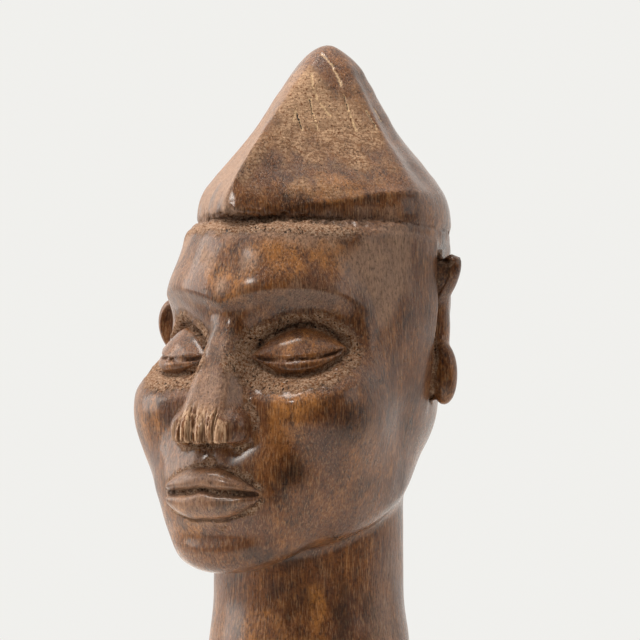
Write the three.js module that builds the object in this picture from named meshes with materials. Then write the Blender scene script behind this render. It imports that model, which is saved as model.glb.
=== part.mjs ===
// Carved wooden head of a standing female figure: head, peaked cap and neck in one piece of hardwood.
// Millimetres, +Z up. The neck ends in a flat saw cut at z = 0, centred on the origin.
// The face looks along -Y. Below, a place is given as (left, forward, up): left is +X and forward is -Y.
import * as THREE from 'three';
import { mergeVertices } from 'three/addons/utils/BufferGeometryUtils.js';

// Driving dimensions of the head and neck
const TOTAL_HEIGHT = 194;
const CHIN_Z = 44;
const HALF_WIDTH = 36.8;
const SKULL_DEPTH = 37.5;
const SKULL_MIDDLE = -6;
const NECK_RADIUS = 26.5;
const NECK_FLARE = { from: 42, to: 22, amount: 1.8 };

// The face follows the drawing-school rule: three equal thirds from chin to hairline,
// the mouth a third of the way from nose to chin, the eyes at half the height of the head.
const FACE_THIRD = 39;
const CROWN_Z = 172;
const NOSE_Z = CHIN_Z + FACE_THIRD;
const BROW_Z = CHIN_Z + 2 * FACE_THIRD;
const EYE_Z = (CHIN_Z + CROWN_Z) / 2;
const MOUTH_Z = NOSE_Z - FACE_THIRD / 3;
const CREASE_Z = NOSE_Z - (2 * FACE_THIRD) / 3;

// The rounded masses of the head: centre, radii, and how softly each flows into the ones before it.
// One that stands off the midline is on both sides.
const MASSES = [
  { part: 'skull', centre: [0, SKULL_MIDDLE + 1, 112], radii: [HALF_WIDTH - 1.6, 35.9, 43], soft: 1 },
  { part: 'face', centre: [0, 10, 102], radii: [HALF_WIDTH - 3, 33, 47], soft: 12 },
  { part: 'forehead', centre: [0, 9, BROW_Z + 9], radii: [29, 33, 26], soft: 8 },
  { part: 'cheek', centre: [18.5, 26, 92], radii: [19, 19, 20], soft: 10 },
  { part: 'nape', centre: [0, -6, 92], radii: [30.3, 33.8, 26.5], soft: 7 },
  { part: 'jaw', centre: [13, 13, MOUTH_Z], radii: [19, 28, 20], soft: 12 },
  { part: 'muzzle', centre: [0, 36, MOUTH_Z + 2], radii: [22, 15, 17], soft: 9 },
  { part: 'chin', centre: [0, 36, CHIN_Z + 14], radii: [19, 13.5, 14], soft: 8 },
];
const UNDERSIDE = { point: [0, 46, CHIN_Z + 0.5], facing: [0, -0.42, -1], soft: 6 };

// The cap: the outline of its rim, its facets and its rounded tip
const RIM_Z = 146;
const RIM_SLOPE = 0.085;
const RIM_GROOVE = { width: 1.3, front: 0.9, side: 0.5, ledge: 5 };
const CAP_HALF = 36.6;
const CAP_FRONT = 44;
const CAP_FLARE = { from: RIM_Z + 25, to: RIM_Z + 4, amount: 2.8, beside: 24 };
const FRONT_FACET = { point: [0, CAP_FRONT, RIM_Z + 3], facing: [1.25, 1, 1.02] };
const FRONT_WALL = { point: [0, CAP_FRONT - 0.5, 0], facing: [1.25, 1, 0] };
const EAR_FACET = { point: [22.1, -3.5, 169.4], facing: [1, -0.1, 0.6] };
const EAR_SWEEP = { forward: -10, width: 5, depth: 1.3 };
const SIDE_FACET = { point: [20, -13.8, 171.4], facing: [0.713, -0.463, 0.475] };
const REAR_FACET = { point: [0, SKULL_MIDDLE - SKULL_DEPTH, RIM_Z + 11], facing: [0, -0.77, 0.64] };
const TIP = { forward: -11, height: TOTAL_HEIGHT + 0.5, radius: 4, slope: 0.8 };

// The ears: the left one stands higher and further back than the right, as cut by hand
const LEFT_EAR = { side: 1, top: 134.5, forward: -15, reach: 41.6 };
const RIGHT_EAR = { side: -1, top: 122, forward: 4, reach: 48 };
const EAR_ROOT = 28.5;
const EAR_RECESS = { depth: 2.2, front: 6, back: 15, above: 6, below: 46 };

// The features: the eyes are placed by arc length round the front of the face
const FACE_ROUND = 40;
const EYE = { away: 20.5, half: 14, upper: 7.4, lower: 6.2, tilt: 1.2, lid: 3.8 };
const ORBIT = { away: 20, half: 18.5, height: 11.5, depth: 5.2 };
const BROW = { away: 19, half: 21, arch: 5, height: 2.2, above: 6.5, below: 3 };
const NOSE = { root: BROW_Z - 6, front: 43, rise: 15.5, half: 3, widen: 4.6, worn: 56, back: 30 };
const LIPS = { half: 17, upper: 6.4, lower: 7.4, height: 3.4, parting: 2.4 };

// Mesh density
const FAN_CENTRE_Z = 100;
const FAN_END = -61.5;
const EDGE_BEVEL = 0.8;
const MARCH_STEP = 0.8;
const LONGEST_RAY = 130;
const RIM_SEARCH = [25, 62];

const clamp = THREE.MathUtils.clamp;
const radians = THREE.MathUtils.degToRad;
const smoothstep = THREE.MathUtils.smoothstep;
const bump = (t) => Math.exp(-t * t);

// Blended union and blended cut: soft is the width over which two surfaces flow into each other.
function blend(a, b, soft) {
  const near = Math.max(soft - Math.abs(a - b), 0) / soft;
  return Math.min(a, b) - (near * near * soft) / 4;
}

function cut(a, b, soft) {
  return -blend(-a, -b, soft);
}

function ellipsoid(x, f, z, centre, radii) {
  const u = (x - centre[0]) / radii[0];
  const v = (f - centre[1]) / radii[1];
  const w = (z - centre[2]) / radii[2];
  const length = Math.hypot(u, v, w);
  const slope = Math.hypot(u / radii[0], v / radii[1], w / radii[2]);
  return slope < 1e-9 ? -Math.min(...radii) : (length * (length - 1)) / slope;
}

// Distance to a plane through a point. The way it faces need not be of unit length.
function plane(x, f, z, { point, facing }) {
  const across = (x - point[0]) * facing[0] + (f - point[1]) * facing[1];
  return (across + (z - point[2]) * facing[2]) / Math.hypot(...facing);
}

// Distance to an upright oval wall, whose back and front halves may differ in depth.
function oval(ax, f, half, back, front) {
  const depth = f > SKULL_MIDDLE ? front : back;
  return (Math.hypot(ax / half, (f - SKULL_MIDDLE) / depth) - 1) * half;
}

// Skull, cheeks, jaw and chin, before the features are cut. ax is the distance from the midline.
function headMass(ax, f, z) {
  let d = LONGEST_RAY;
  for (const { centre, radii, soft } of MASSES) {
    d = blend(d, ellipsoid(ax, f, z, centre, radii), soft);
  }
  const wall = oval(ax, f, HALF_WIDTH, SKULL_DEPTH, SKULL_DEPTH + 2);
  const crown = cut(cut(wall, z - RIM_Z - 4, 8), EYE_Z - z, 16);
  return cut(blend(d, crown, 4), plane(ax, f, z, UNDERSIDE), UNDERSIDE.soft);
}

// A cone with a rounded top, which takes the sharpness off the peak of the cap.
function capTip(x, f, z) {
  const away = TIP.slope * Math.hypot(x, f - TIP.forward);
  return (z - TIP.height - TIP.radius + Math.hypot(TIP.radius, away)) / Math.hypot(1, TIP.slope);
}

// A peak of seven facets with a crisp ridge in front, over an upright band that dies out at the forehead.
function cap(x, f, z) {
  const ax = Math.abs(x);
  const nearTip = smoothstep(z, RIM_Z + 24, TOTAL_HEIGHT - 6);
  const front = cut(plane(x, f, z, FRONT_FACET), plane(-x, f, z, FRONT_FACET), 0.3 + 2 * nearTip);
  const besideRidge = bump((f - EAR_SWEEP.forward) / EAR_SWEEP.width);
  const sweep = EAR_SWEEP.depth * besideRidge * smoothstep(z, RIM_Z, RIM_Z + 14);
  const aboveEar = cut(front, plane(ax, f, z, EAR_FACET) + sweep, 1.2);
  const sides = cut(aboveEar, plane(ax, f, z, SIDE_FACET), 4 - 2 * nearTip);
  const amount = CAP_FLARE.amount * smoothstep(ax, 0, CAP_FLARE.beside);
  const flare = amount * smoothstep(-z, -CAP_FLARE.from, -CAP_FLARE.to);
  const peak = cut(sides, plane(ax, f, z, REAR_FACET), 12 - 8 * nearTip) - flare;
  const wall = plane(ax, f, z, FRONT_WALL) - amount;
  const band = cut(oval(ax, f, CAP_HALF, SKULL_DEPTH, CAP_FRONT - SKULL_MIDDLE + 6), wall, 3);
  return cut(cut(peak, band, 3), capTip(x, f, z), 3);
}

// The rim sinks by a few millimetres from the forehead to the nape.
const rimHeight = (f) => RIM_Z - RIM_SLOPE * (CAP_FRONT - f);

// Depth of the hollow in which an ear stands, behind a crisp edge of the cheek.
function earRecess(x, f, z, { side, top, forward }) {
  if (x * side <= 0) return 0;
  const behindEdge = smoothstep(forward + EAR_RECESS.front - f, 0, 2.6);
  const beforeNape = smoothstep(f - forward + EAR_RECESS.back, 0, 11);
  const low = top - EAR_RECESS.below;
  const upright = smoothstep(z, low, low + 14) * smoothstep(top + EAR_RECESS.above - z, 0, 8);
  return EAR_RECESS.depth * behindEdge * beforeNape * upright;
}

// A leaf-shaped upper ear over a low strip and a drop-shaped lobe, all rooted in the side of the skull.
// Each ends a little short of the ear's full reach.
function ear(x, forward, z, { side, top, forward: place, reach }) {
  const mass = (short, ahead, down, depth, height) => {
    const half = (reach - short - EAR_ROOT) / 2;
    const centre = [EAR_ROOT + half, place + ahead, top - down];
    return ellipsoid(x * side, forward, z, centre, [half, depth, height]);
  };
  const leaf = mass(0, 0, 7.2, 4, 8);
  const strip = mass(5, -1, 20, 3.4, 13);
  const lobe = mass(2.5, 0, 32.6, 3.8, 8.6);
  return blend(blend(leaf, strip, 3), lobe, 2);
}

function neck(x, f, z) {
  const flare = NECK_FLARE.amount * smoothstep(-z, -NECK_FLARE.from, -NECK_FLARE.to);
  return cut(Math.hypot(x, f) - NECK_RADIUS - flare, z - EYE_Z, 6);
}

// A block nose: narrow at the bridge, broad at the wings, its front worn flat.
function nose(ax, f, z) {
  const along = clamp((NOSE.root - z) / (NOSE.root - NOSE_Z), -0.3, 1.1);
  const front = NOSE.front + NOSE.rise * along;
  const half = NOSE.half + NOSE.widen * along + 0.42 * Math.max(front - f, 0);
  const wedge = cut(ax - half, f - front, 3) * 0.87;
  const trimmed = cut(wedge, Math.max(f - NOSE.worn, z - BROW_Z), 1.5);
  const block = cut(Math.max(trimmed, NOSE.back - f), NOSE_Z - z + 0.2 * (NOSE.worn - f), 2);
  const wing = ellipsoid(ax, f, z, [8, NOSE.worn - 8, NOSE_Z + 4.4], [4.2, 6, 4.8]);
  return blend(block, wing, 2.5);
}

// Height of the carved eye over the face: a hollow orbit with a domed lid in it.
function eyeRelief(s, z) {
  const u = (s - EYE.away) / EYE.half;
  const v = z - EYE_Z - EYE.tilt * u;
  const reach = Math.hypot((s - ORBIT.away) / ORBIT.half, (v - 0.5) / ORBIT.height);
  const orbit = ORBIT.depth * smoothstep(1.25 - reach, 0, 0.9);
  const lid = 1 - u * u - Math.pow(v / (v > 0 ? EYE.upper : EYE.lower), 2);
  return EYE.lid * Math.max(lid, 0) - orbit;
}

// A rounded ridge that arches over the eye from the root of the nose to the temple.
function browRelief(s, z) {
  const arch = BROW_Z - 1 + BROW.arch * (1 - Math.pow((s - BROW.away) / BROW.half, 2));
  const away = z - arch;
  const width = away > 0 ? BROW.above : BROW.below;
  return BROW.height * bump(away / width) * smoothstep(44 - s, 0, 14);
}

// Full lips, the line between them, the groove under the nose and the crease over the chin.
function mouthRelief(ax, z) {
  const bow = Math.max(1 - Math.pow(ax / LIPS.half, 2), 0);
  const upperEdge = MOUTH_Z + LIPS.upper * Math.pow(bow, 0.75);
  const lowerEdge = MOUTH_Z - LIPS.lower * Math.pow(bow, 0.7);
  const inside = Math.min(upperEdge - z, z - lowerEdge);
  const lips = LIPS.height * smoothstep(inside, -3, 4) * smoothstep(bow, 0, 0.6);
  const parting = LIPS.parting * bump((z - MOUTH_Z) / 1.7) * smoothstep(bow, 0, 0.5);
  const groove = 0.9 * bump(ax / 3.5) * bump((z - (MOUTH_Z + NOSE_Z) / 2 - 2) / 4);
  const crease = 2 * bump((z - CREASE_Z - 1.2) / 3.5) * bump(ax / 14);
  return lips - parting - groove - crease;
}

// Negative inside the wood, positive outside, in millimetres near the surface.
function carving(x, f, z) {
  const ax = Math.abs(x);
  const rim = rimHeight(f);
  const facing = smoothstep(f, 2, 14);
  const s = FACE_ROUND * Math.atan2(ax, f);
  const relief = facing * (eyeRelief(s, z) + browRelief(s, z) + mouthRelief(ax, z));
  const face = blend(headMass(ax, f, z) - relief, nose(ax, f, z), 2);
  const inFront = smoothstep(f, 0, 24);
  const depth = RIM_GROOVE.side + (RIM_GROOVE.front - RIM_GROOVE.side) * inFront;
  const grooved = face + depth * bump((z - rim) / RIM_GROOVE.width + 0.75);
  const hood = cut(cap(x, f, z), rim - z, 3.5 - 1.5 * inFront);
  const recessed = grooved + earRecess(x, f, z, LEFT_EAR) + earRecess(x, f, z, RIGHT_EAR);
  const head = Math.min(cut(recessed, z - rim - 1, 2 + RIM_GROOVE.ledge * inFront), hood);
  const ears = Math.min(ear(x, f, z, LEFT_EAR), ear(x, f, z, RIGHT_EAR));
  return blend(blend(head, ears, 1.2), neck(x, f, z), 3.5);
}

// Walks out from inside the wood until the surface is crossed, then closes in on it.
function surfaceAlong(start, direction) {
  const value = (t) => carving(...start.map((from, axis) => from + direction[axis] * t));
  let inner = 0;
  let outer = MARCH_STEP;
  while (outer < LONGEST_RAY && value(outer) < 0) {
    inner = outer;
    outer += MARCH_STEP;
  }
  for (let halving = 0; halving < 24; halving += 1) {
    const middle = (inner + outer) / 2;
    if (value(middle) < 0) inner = middle;
    else outer = middle;
  }
  const t = (inner + outer) / 2;
  return start.map((from, axis) => from + direction[axis] * t);
}

// Steps from one angle or height to another, closer together where the carving is fine.
function steps(stops) {
  const out = [stops[0][0]];
  for (let i = 1; i < stops.length; i += 1) {
    const [from] = stops[i - 1];
    const [to, count] = stops[i];
    for (let j = 1; j <= count; j += 1) out.push(from + ((to - from) * j) / count);
  }
  return out;
}

// Directions round the head in degrees from the front, close together at the face and the ears
const HALF_TURN = steps([[0, 0], [58, 21], [80, 5], [122, 12], [180, 4]]);
const WHOLE_TURN = [...HALF_TURN, ...HALF_TURN.slice(1, -1).reverse().map((angle) => 360 - angle)];
const NECK_ROWS = steps([[49, 0], [EDGE_BEVEL, 4]]);

// A point on the surface, seen from the fan's centre, which above the rim moves to under the cap's tip.
function fanPoint(azimuth, elevation, rim) {
  const lift = clamp((elevation - rim) / (90 - rim), 0, 1);
  const e = radians(elevation);
  const way = [Math.sin(azimuth) * Math.cos(e), Math.cos(azimuth) * Math.cos(e), Math.sin(e)];
  return surfaceAlong([0, TIP.forward * lift, FAN_CENTRE_Z], way);
}

// How steeply the rim of the cap is seen from the fan's centre, round the head.
function rimElevation(azimuth) {
  let [low, high] = RIM_SEARCH;
  for (let halving = 0; halving < 12; halving += 1) {
    const middle = (low + high) / 2;
    const [, forward, up] = fanPoint(azimuth, middle, 90);
    if (up < rimHeight(forward)) low = middle;
    else high = middle;
  }
  return high;
}

// The rows of the fan for one direction: tip to rim, close on both sides of the rim, then down the face.
function fanElevations(azimuth) {
  const rim = rimElevation(azimuth);
  const capRows = [[90, 0], [rim + 0.3, 10], [rim - 1.5, 2]];
  return { rim, rows: steps([...capRows, [-5, 19], [-41, 15], [-50, 3], [FAN_END, 3]]) };
}

function fanRow(fan, row) {
  return WHOLE_TURN.map(radians).map((azimuth, column) => {
    const { rim, rows } = fan[column];
    return fanPoint(azimuth, rows[row], rim);
  });
}

function levelRow(height) {
  return WHOLE_TURN.map(radians).map((azimuth) => (
    surfaceAlong([0, 0, height], [Math.sin(azimuth), Math.cos(azimuth), 0])
  ));
}

// Rows of points from the tip of the cap down to the middle of the saw cut, joined into one closed skin.
function carvedGeometry() {
  const fan = WHOLE_TURN.map((degrees) => fanElevations(radians(degrees)));
  const rows = fan[0].rows.map((_, row) => fanRow(fan, row));
  rows.push(...NECK_ROWS.map(levelRow));
  const foot = rows[rows.length - 1];
  const bevelled = 1 - EDGE_BEVEL / NECK_RADIUS;
  for (const scale of [bevelled, 0.6, 0]) {
    rows.push(foot.map(([x, f]) => [x * scale, f * scale, 0]));
  }
  const count = WHOLE_TURN.length;
  const index = [];
  for (let i = 0; i + 1 < rows.length; i += 1) {
    for (let j = 0; j < count; j += 1) {
      const a = i * count + j;
      const b = i * count + ((j + 1) % count);
      // The cells' diagonals on the right side mirror those on the left.
      const [upper, lower] = j < count / 2 ? [b, a + count] : [a, b + count];
      if (i > 0) index.push(a, lower, b);
      if (i + 2 < rows.length) index.push(upper, a + count, b + count);
    }
  }
  const positions = rows.flat().flatMap(([x, f, z]) => [x, -f, z]);
  const geometry = new THREE.BufferGeometry();
  geometry.setAttribute('position', new THREE.Float32BufferAttribute(positions, 3));
  geometry.setIndex(index);
  return mergeVertices(geometry, 1e-3);
}

const wood = new THREE.MeshStandardMaterial({ color: 0x5a3a28, roughness: 0.45, metalness: 0 });

const head = new THREE.Mesh(carvedGeometry(), wood);
head.name = 'carved_head';

const figure = new THREE.Group();
figure.name = 'female_figure_head';
figure.add(head);

export default figure;
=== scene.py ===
import math

import bpy
import numpy as np
from bpy.props import FloatProperty, FloatVectorProperty, PointerProperty
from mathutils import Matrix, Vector


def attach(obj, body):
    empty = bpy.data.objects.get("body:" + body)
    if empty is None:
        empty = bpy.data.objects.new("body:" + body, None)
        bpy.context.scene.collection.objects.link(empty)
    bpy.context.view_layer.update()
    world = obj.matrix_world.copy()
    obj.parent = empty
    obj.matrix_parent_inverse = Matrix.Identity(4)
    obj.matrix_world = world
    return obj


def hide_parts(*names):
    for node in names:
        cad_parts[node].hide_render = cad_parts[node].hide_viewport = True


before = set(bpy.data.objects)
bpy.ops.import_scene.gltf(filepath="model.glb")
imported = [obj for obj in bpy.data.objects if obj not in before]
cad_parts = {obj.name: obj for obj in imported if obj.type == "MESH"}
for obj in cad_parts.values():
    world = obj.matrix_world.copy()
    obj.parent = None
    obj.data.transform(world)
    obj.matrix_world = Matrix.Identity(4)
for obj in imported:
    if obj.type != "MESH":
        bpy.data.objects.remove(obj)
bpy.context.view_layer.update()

bl_info = {
    "name": "Carved wooden head",
    "version": (1, 0, 0),
    "blender": (4, 5, 0),
    "location": "View3D > Sidebar > Carving",
    "description": "Carves and finishes a hardwood head with a peaked cap and sets its studio",
    "category": "Object",
}

NODE = "carved_head"
PIECE = "head_of_dark_wood"
MM = 0.001

# Driving dimensions of the head and neck, in millimetres
TOTAL_HEIGHT = 194
CHIN_Z = 44
HALF_WIDTH = 36.8
SKULL_DEPTH = 37.5
SKULL_MIDDLE = -6
NECK_RADIUS = 26.5
NECK_FLARE = {"from": 42, "to": 22, "amount": 1.8}
EDGE_BEVEL = 0.8

# The face follows the drawing-school rule: three equal thirds from chin to hairline,
# the mouth a third of the way from nose to chin, the eyes at half the height of the head.
FACE_THIRD = 39
CROWN_Z = 172
NOSE_Z = CHIN_Z + FACE_THIRD
BROW_Z = CHIN_Z + 2 * FACE_THIRD
EYE_Z = (CHIN_Z + CROWN_Z) / 2
MOUTH_Z = NOSE_Z - FACE_THIRD / 3
CREASE_Z = NOSE_Z - 2 * FACE_THIRD / 3

# The rounded masses of the head: centre, radii, and how softly each flows into the ones before it.
# One that stands off the midline is on both sides.
MASSES = (
    ("skull", (0, SKULL_MIDDLE + 1, 112), (HALF_WIDTH - 1.6, 35.9, 43), 1),
    ("face", (0, 10, 102), (HALF_WIDTH - 3, 33, 47), 12),
    ("forehead", (0, 9, BROW_Z + 9), (29, 33, 26), 8),
    ("cheek", (18.5, 26, 92), (19, 19, 20), 10),
    ("nape", (0, -6, 92), (30.3, 33.8, 26.5), 7),
    ("jaw", (13, 13, MOUTH_Z), (19, 28, 20), 12),
    ("muzzle", (0, 36, MOUTH_Z + 2), (22, 15, 17), 9),
    ("chin", (0, 36, CHIN_Z + 14), (19, 13.5, 14), 8),
)
FAR = 130.0
UNDERSIDE = {"point": (0, 46, CHIN_Z + 0.5), "facing": (0, -0.42, -1), "soft": 6}

# The cap: the outline of its rim, its facets and its rounded tip
RIM_Z = 146
RIM_SLOPE = 0.085
RIM_GROOVE = {"width": 1.3, "front": 0.9, "side": 0.5, "ledge": 5}
CAP_HALF = 36.6
CAP_FRONT = 44
CAP_FLARE = {"from": RIM_Z + 25, "to": RIM_Z + 4, "amount": 2.8, "beside": 24}
FRONT_FACET = {"point": (0, CAP_FRONT, RIM_Z + 3), "facing": (1.25, 1, 1.02)}
FRONT_WALL = {"point": (0, CAP_FRONT - 0.5, 0), "facing": (1.25, 1, 0)}
BRIM_CORNER = {"point": (0, 38.1, RIM_Z + 8), "facing": (0.25, 1, 0.28)}
BRIM_LIP = {"rise": 3.2, "height": 0.5, "width": 1.3}
EAR_FACET = {"point": (22.1, -3.5, 169.4), "facing": (1, -0.1, 0.6)}
EAR_SWEEP = {"forward": -10, "width": 5, "depth": 1.3}
SIDE_FACET = {"point": (20, -13.8, 171.4), "facing": (0.713, -0.463, 0.475)}
REAR_FACET = {"point": (0, SKULL_MIDDLE - SKULL_DEPTH, RIM_Z + 11), "facing": (0, -0.77, 0.64)}
TIP = {"forward": -11, "height": TOTAL_HEIGHT + 0.5, "radius": 4, "slope": 0.8}

# The ears: the left one stands higher and further back than the right, as cut by hand
LEFT_EAR = {"side": 1, "top": 134.5, "forward": -15, "reach": 41.6, "lean": 0.5, "leaf": 4.6}
RIGHT_EAR = {"side": -1, "top": 122, "forward": 4, "reach": 48, "lean": 0.1, "leaf": 5.8}
EAR_RECESS = {"depth": 2.2, "front": 6, "back": 15, "above": 6, "below": 46}

# The features: eyes and brows are placed by arc length round the front of the face, and the lines
# of eyes and mouth are given by their depth or height
FACE_ROUND = 40
EYE = {"away": 20.5, "half": 14, "upper": 7, "lower": 5.8, "tilt": 1.2, "lid": 4}
EYE_LINES = {"edge": 0.7, "fold": 1.1, "slit": 0.9}
ORBIT = {"away": 20, "half": 18.5, "height": 11.5, "depth": 5.2}
BROW = {"away": 19, "half": 21, "arch": 5, "height": 2.2, "above": 6.5, "below": 3}
NOSE = {"root": BROW_Z - 6, "front": 43, "rise": 15.5, "half": 3, "widen": 4.6, "worn": 56, "back": 30}
NOSE_WING = {"centre": (8, NOSE["worn"] - 8, NOSE_Z + 4.4), "radii": (4.2, 6, 4.8)}
NOSTRIL = {"centre": (4.6, NOSE["worn"] - 6, NOSE_Z - 0.2), "radii": (2.2, 3.2, 2.2)}
LIPS = {"half": 16, "upper": 6.4, "lower": 7.4, "height": 3.4, "parting": 2.2}
MOUTH_LINES = {"dip": 1, "groove": 0.9, "crease": 2}

# Slanting cuts on the cap's left front facet: both ends as (from the midline, up), and a share of full depth
SCRATCHES = (
    ((2.7, 192.1), (6.1, 187.9), 0.5),
    ((6.1, 187.9), (9.6, 182.3), 0.75),
    ((2.9, 185.9), (4.4, 182.2), 0.6),
    ((4.4, 182.2), (6.7, 178.3), 0.75),
    ((6.7, 178.3), (10.6, 173.8), 0.6),
    ((5.4, 178.1), (7.4, 174.2), 0.9),
    ((7.4, 174.2), (10.0, 169.4), 0.6),
    ((4.4, 174.2), (6.9, 170.0), 0.95),
    ((3.6, 176.0), (4.6, 172.4), 0.5),
    ((11.2, 179.5), (13.4, 175.4), 1),
    ((13.4, 175.4), (16.9, 169.7), 0.7),
    ((17.0, 175.0), (20.4, 170.4), 0.85),
    ((18.1, 177.6), (20.3, 175.0), 0.6),
)
SCRATCH = {"half": 0.32, "depth": 0.5}
NO_CUT_NEAR = 9.0

# Height or depth of the marks that hand and age have left on the smooth carving
MARKS = {"waver": 0.26, "ripple": 0.1, "stroke": 0.06, "planing": 0.13, "nose_grain": 0.8, "notch": 0.5}
CRUMBLED = {"rim": 0.34, "orbit": 0.26, "ear": 0.22}

# Blotches on the wood: angle round the head, height, half width in degrees, half height, strength
WORN_PATCHES = (
    (30, 94, 11, 9, 0.9),
    (26, 136, 30, 8, 1),
    (2, 128, 14, 7, 0.9),
    (-14, 61, 16, 9, 0.7),
    (39, 36, 6, 9, 1),
    (0, 30, 20, 9, 0.8),
    (30, 109, 9, 4, 0.8),
    (-30, 88, 14, 12, 0.7),
    (48, 154, 26, 5, 0.8),
    (-40, 26, 14, 24, 0.6),
    (120, 96, 26, 10, 0.4),
    (180, 128, 40, 10, 0.4),
    (-100, 100, 24, 12, 0.5),
)
STAINS = (
    (35, 99.5, 8, 2.5, 0.8),
    (50, 88, 15, 7, 0.55),
    (27, 75, 7, 5, 0.7),
    (20, 52, 18, 4, 0.8),
    (54, 34, 7, 12, 0.75),
    (32, 14, 14, 15, 0.5),
    (25, 36, 9, 9, 0.6),
    (12, 42, 9, 4, 0.75),
    (-60, 110, 10, 8, 0.5),
    (150, 84, 26, 7, 0.5),
    (200, 60, 20, 12, 0.5),
)
MATTE_PATCHES = ((42, 180, 62, 24, 1),)
# Pinkish grey film and painted sheen, in the same columns: the first two paint the grey sheen that the cap's
# right front facet and the left temple catch at a grazing angle, the rest a dry film
FILM_AND_SHEEN_PATCHES = (
    (-50, 170, 60, 44, 1.6),
    (67, 133, 18, 15, 0.85),
    (28, 141.5, 46, 5, 0.7),
    (0, 99, 9, 15, 0.55),
    (0, 71, 20, 9, 0.5),
    (30, 123, 22, 4, 0.35),
    (84, 30, 18, 20, 0.35),
    (-60, 96, 30, 22, 0.5),
    (-70, 22, 50, 24, 0.3),
    (200, 168, 80, 26, 0.4),
)

# The polish, and the middle of the growth rings under the saw cut, which lies off the neck
POLISH = {"roughness": (0.24, 0.4), "coat": 0.4, "coat_roughness": 0.18, "specular": 0.16}
PITH = (14, -9, 0)

# The picture's middle, measured from the middle of the neck: to the camera's right, and up
PICTURE_RIGHT = 3.2
PICTURE_UP = 116.8
HEAD_MIDDLE = 110

# The studio: brightness of the surroundings behind, in front and above, the floor, and the soft boxes,
# each with its place as (camera's right, up, towards the camera), its width and its power
BACK_LIGHT = 1.1
FRONT_LIGHT = 0.03
TOP_LIGHT = 0.45
FLOOR_RADIUS = 0.42
SOFT_BOXES = (
    ("key_left", (-0.6, 0.5, 0.7), 0.12, 2.6),
    ("window_left", (-0.85, 0.25, -0.15), 0.6, 6),
    ("fill_right", (0.75, 0.3, 0.3), 0.4, 1),
    ("overhead", (-0.3, 0.85, 0.05), 0.45, 11),
)

# How far the field is probed to find its slope and its curvature
PROBE = 0.15
FINE_PROBE = 1.0
BROAD_PROBE = 3.2
AXES = np.eye(3)

# How quickly the carving turns where its net is made finer, in general and on the face
SHARP_TURN = 0.3
SHARP_ON_FACE = 0.15

# The longest step of a vertex towards the carving at first and later, how close to the cap's front ridge
# it is drawn onto it, and the sharpest edge that is shaded smooth
FIRST_REACH = 1.5
REACH = 0.6
RIDGE_REACH = 0.36
SMOOTH_ANGLE = math.radians(50)


def smoothstep(t, low, high):
    t = np.clip((t - low) / (high - low), 0, 1)
    return t * t * (3 - 2 * t)


def bump(t):
    return np.exp(-t * t)


def left_forward_up(points):
    return points[:, 0], -points[:, 1], points[:, 2]


def face_arc(ax, f):
    """Distance from the midline, measured round the front of the face."""
    return FACE_ROUND * np.arctan2(ax, f)


# Blended union and blended cut: soft is the width over which two surfaces flow into each other.
def blend(a, b, soft):
    near = np.maximum(soft - np.abs(a - b), 0) / soft
    return np.minimum(a, b) - near * near * soft / 4


def cut(a, b, soft):
    return -blend(-a, -b, soft)


def ellipsoid(x, f, z, centre, radii):
    u = (x - centre[0]) / radii[0]
    v = (f - centre[1]) / radii[1]
    w = (z - centre[2]) / radii[2]
    length = np.sqrt(u * u + v * v + w * w)
    slope = np.sqrt((u / radii[0]) ** 2 + (v / radii[1]) ** 2 + (w / radii[2]) ** 2)
    return length * (length - 1) / np.maximum(slope, 1e-9)


def plane(x, f, z, face):
    """Distance to a plane through a point. The way it faces need not be of unit length."""
    point, facing = face["point"], face["facing"]
    across = (x - point[0]) * facing[0] + (f - point[1]) * facing[1] + (z - point[2]) * facing[2]
    return across / math.hypot(*facing)


def oval(ax, f, half, back, front):
    """Distance to an upright oval wall, whose back and front halves may differ in depth."""
    depth = np.where(f > SKULL_MIDDLE, front, back)
    return (np.hypot(ax / half, (f - SKULL_MIDDLE) / depth) - 1) * half


def head_mass(ax, f, z):
    """Skull, cheeks, jaw and chin, before the features are cut. ax is the distance from the midline."""
    d = np.full_like(ax, FAR)
    for _, centre, radii, soft in MASSES:
        d = blend(d, ellipsoid(ax, f, z, centre, radii), soft)
    wall = oval(ax, f, HALF_WIDTH, SKULL_DEPTH, SKULL_DEPTH + 2)
    crown = cut(cut(wall, z - RIM_Z - 4, 8), EYE_Z - z, 16)
    return cut(blend(d, crown, 4), plane(ax, f, z, UNDERSIDE), UNDERSIDE["soft"])


def cap_tip(x, f, z):
    """A cone with a rounded top, which takes the sharpness off the peak of the cap."""
    away = TIP["slope"] * np.hypot(x, f - TIP["forward"])
    return (z - TIP["height"] - TIP["radius"] + np.hypot(TIP["radius"], away)) / math.hypot(1, TIP["slope"])


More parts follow.
